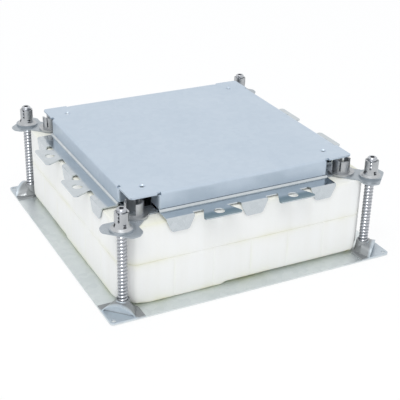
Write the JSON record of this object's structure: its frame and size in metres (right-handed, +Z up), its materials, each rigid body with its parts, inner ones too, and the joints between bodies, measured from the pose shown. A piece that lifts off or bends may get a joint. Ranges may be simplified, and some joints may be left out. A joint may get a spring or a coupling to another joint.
{
  "type": "adjustable underfloor box",
  "caption": "Square underfloor screed box: foam-walled sheet base, levelling spindles and a height-adjustable flanged frame with a lift-off mounting lid.",
  "frame": {"origin": "centre of the base plate's underside, on the raw floor", "axes": "+Z up, +X along the front side to the right, +Y from the front side to the back"},
  "size_m": [0.36, 0.36, 0.124],
  "materials": {
    "base_sheet": "galvanised sheet",
    "frame_sheet": "galvanised sheet",
    "lid_sheet": "galvanised sheet",
    "spindle": "zinc-plated rolled thread",
    "cast_zinc": "dull zinc",
    "foam": "white polyethylene foam"
  },
  "bodies": {
    "base": {"base_plate": "base_sheet", "corner_foot_back_right": "base_sheet", "corner_foot_back_left": "base_sheet", "corner_foot_front_left": "base_sheet", "corner_foot_front_right": "base_sheet", "foam_lower_front": "foam", "foam_lower_right": "foam", "foam_lower_back": "foam", "foam_lower_left": "foam", "foam_upper_front": "foam", "foam_upper_right": "foam", "foam_upper_back": "foam", "foam_upper_left": "foam"},
    "frame": {"flange_rail_front": "frame_sheet", "flange_rail_right": "frame_sheet", "flange_rail_back": "frame_sheet", "flange_rail_left": "frame_sheet", "corner_plate_back_right": "frame_sheet", "corner_plate_back_left": "frame_sheet", "corner_plate_front_left": "frame_sheet", "corner_plate_front_right": "frame_sheet", "nut_washer_back_right": "frame_sheet", "nut_washer_back_left": "frame_sheet", "nut_washer_front_left": "frame_sheet", "nut_washer_front_right": "frame_sheet", "quick_nut_back_right": "cast_zinc", "quick_nut_back_left": "cast_zinc", "quick_nut_front_left": "cast_zinc", "quick_nut_front_right": "cast_zinc", "corner_socket_back_right": "cast_zinc", "corner_socket_back_left": "cast_zinc", "corner_socket_front_left": "cast_zinc", "corner_socket_front_right": "cast_zinc"},
    "lid": {"lid": "lid_sheet"},
    "spindle_back_right": {"spindle_back_right": "spindle"},
    "spindle_back_left": {"spindle_back_left": "spindle"},
    "spindle_front_left": {"spindle_front_left": "spindle"},
    "spindle_front_right": {"spindle_front_right": "spindle"}
  },
  "joints": [
    {"name": "height_adjust", "type": "slide", "parent": "base", "child": "frame", "axis": [0, 0, 1], "range_m": [-0.045, 0], "deforming": ["foam_lower_front", "foam_lower_right", "foam_lower_back", "foam_lower_left", "foam_upper_front", "foam_upper_right", "foam_upper_back", "foam_upper_left"]},
    {"name": "lid_lift", "type": "slide", "parent": "frame", "child": "lid", "axis": [0, 0, 1], "range_m": [0, 0.08]},
    {"name": "spindle_turn_back_right", "type": "hinge", "parent": "base", "child": "spindle_back_right", "pos_m": [0.157, 0.157, 0.06], "axis": [0, 0, 1], "range_deg": [0, 3858.14]},
    {"name": "spindle_turn_back_left", "type": "hinge", "parent": "base", "child": "spindle_back_left", "pos_m": [-0.157, 0.157, 0.06], "axis": [0, 0, 1], "range_deg": [0, 3858.14]},
    {"name": "spindle_turn_front_left", "type": "hinge", "parent": "base", "child": "spindle_front_left", "pos_m": [-0.157, -0.157, 0.06], "axis": [0, 0, 1], "range_deg": [0, 3858.14]},
    {"name": "spindle_turn_front_right", "type": "hinge", "parent": "base", "child": "spindle_front_right", "pos_m": [0.157, -0.157, 0.06], "axis": [0, 0, 1], "range_deg": [0, 3858.14]}
  ],
  "couplings": [
    {"joint": "spindle_turn_back_right", "follows": "height_adjust", "rad_per_m": -1496},
    {"joint": "spindle_turn_back_left", "follows": "height_adjust", "rad_per_m": -1496},
    {"joint": "spindle_turn_front_left", "follows": "height_adjust", "rad_per_m": -1496},
    {"joint": "spindle_turn_front_right", "follows": "height_adjust", "rad_per_m": -1496}
  ]
}
